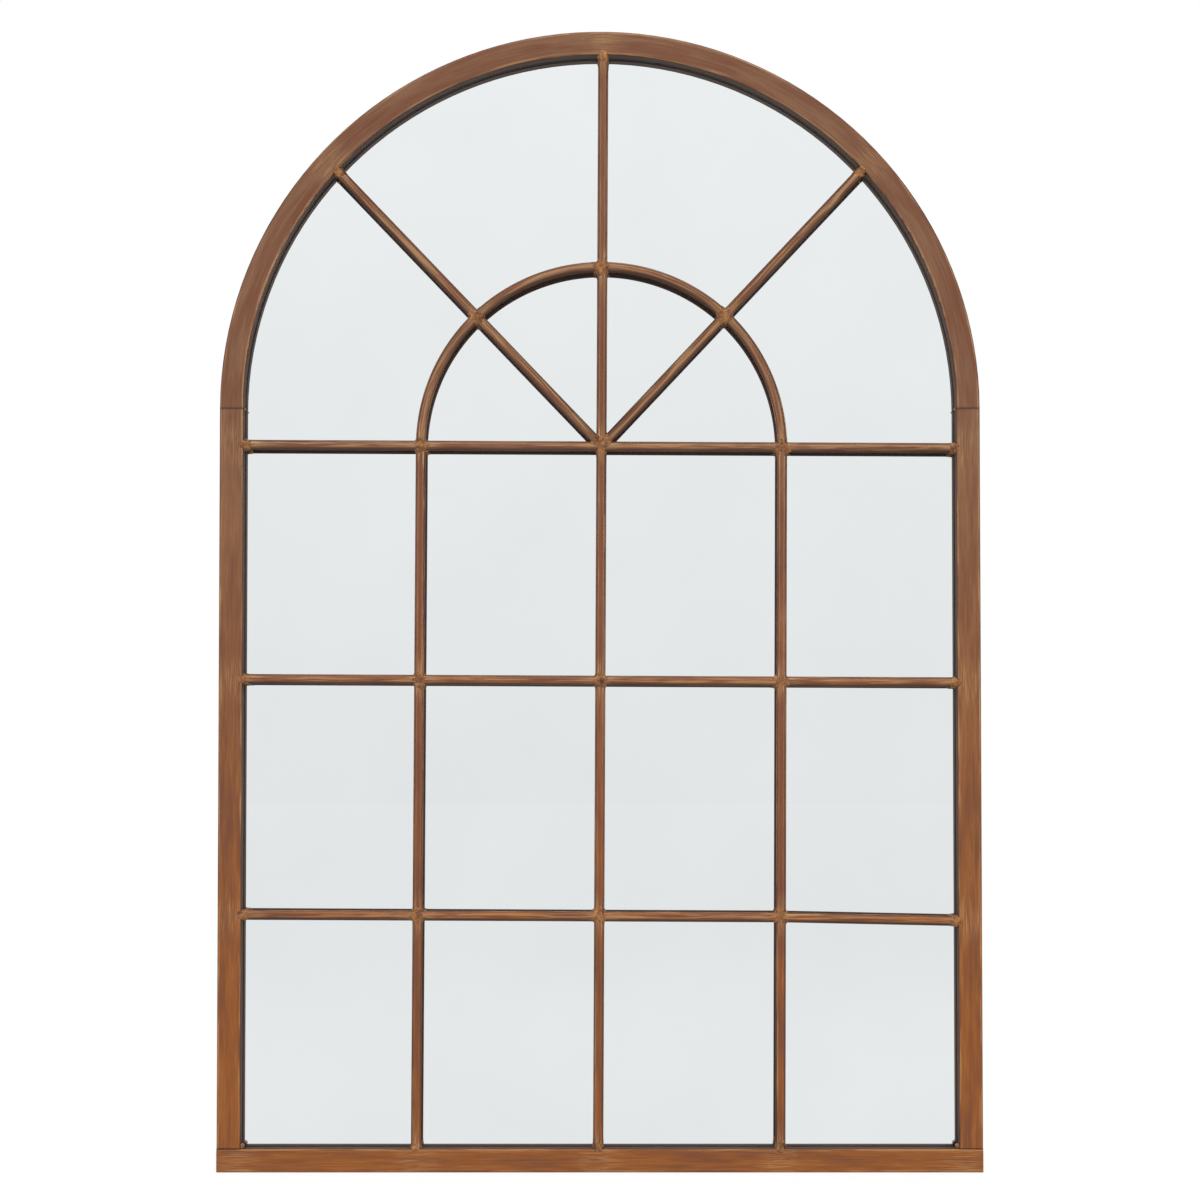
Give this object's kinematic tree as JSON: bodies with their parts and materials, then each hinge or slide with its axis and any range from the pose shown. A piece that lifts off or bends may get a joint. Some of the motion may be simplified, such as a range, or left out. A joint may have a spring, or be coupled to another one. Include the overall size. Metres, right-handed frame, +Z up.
{
  "type": "arched window mirror",
  "caption": "Wall mirror shaped like a round-headed window: a welded steel tube frame and fanlight grille over one arched sheet of mirror glass, with swinging hanger rings behind.",
  "frame": {"origin": "middle of the underside of the bottom rail, half way through the depth of the frame tube", "axes": "+Z up along the stiles, +Y from the front of the mirror to the wall, +X to the right seen from the front"},
  "size_m": [0.8, 0.0376, 1.1999],
  "materials": {
    "frame_steel": "brushed copper-brown lacquer over welded steel tube, worn lighter at the edges",
    "grille_tube": "the same lacquer on thin round tube, paler where it was brushed near the welds",
    "weld_metal": "rough welds under the same lacquer",
    "silvered_glass": "clear float glass, silvered on the back",
    "foam_tape": "matte black foam",
    "hardboard": "pressed brown hardboard",
    "zinc_steel": "bright zinc plate",
    "black_rubber": "matte rubber"
  },
  "bodies": {
    "frame": {"left_stile": "frame_steel", "right_stile": "frame_steel", "bottom_rail": "frame_steel", "arch_rail": "frame_steel", "rail_end_plates": "frame_steel", "frame_corner_welds": "weld_metal", "transom": "grille_tube", "left_mullion": "grille_tube", "centre_mullion": "grille_tube", "right_mullion": "grille_tube", "middle_bar_far_left": "grille_tube", "middle_bar_left": "grille_tube", "middle_bar_right": "grille_tube", "middle_bar_far_right": "grille_tube", "lower_bar_far_left": "grille_tube", "lower_bar_left": "grille_tube", "lower_bar_right": "grille_tube", "lower_bar_far_right": "grille_tube", "king_bar": "grille_tube", "left_spoke": "grille_tube", "right_spoke": "grille_tube", "inner_arch_far_left": "grille_tube", "inner_arch_left": "grille_tube", "inner_arch_right": "grille_tube", "inner_arch_far_right": "grille_tube", "middle_row_welds": "weld_metal", "lower_row_welds": "weld_metal", "transom_welds": "weld_metal", "inner_arch_welds": "weld_metal", "fan_weld": "weld_metal", "left_stile_welds": "weld_metal", "right_stile_welds": "weld_metal", "bottom_rail_welds": "weld_metal", "arch_rail_welds": "weld_metal", "glazing_tape": "foam_tape", "mirror_glass": "silvered_glass", "backing_board": "hardboard", "glass_clips": "zinc_steel", "clip_screws": "zinc_steel", "left_hanger_strap": "zinc_steel", "right_hanger_strap": "zinc_steel", "hanger_screws": "zinc_steel", "wall_bumpers": "black_rubber", "bumper_screws": "zinc_steel"},
    "left_ring": {"left_hanger_ring": "zinc_steel"},
    "right_ring": {"right_hanger_ring": "zinc_steel"}
  },
  "joints": [
    {"name": "left_ring_swing", "type": "hinge", "parent": "frame", "child": "left_ring", "pos_m": [-0.391, 0.01285, 0.78], "axis": [1, 0, 0], "range_deg": [0, 178]},
    {"name": "right_ring_swing", "type": "hinge", "parent": "frame", "child": "right_ring", "pos_m": [0.391, 0.01285, 0.78], "axis": [1, 0, 0], "range_deg": [0, 178]}
  ]
}
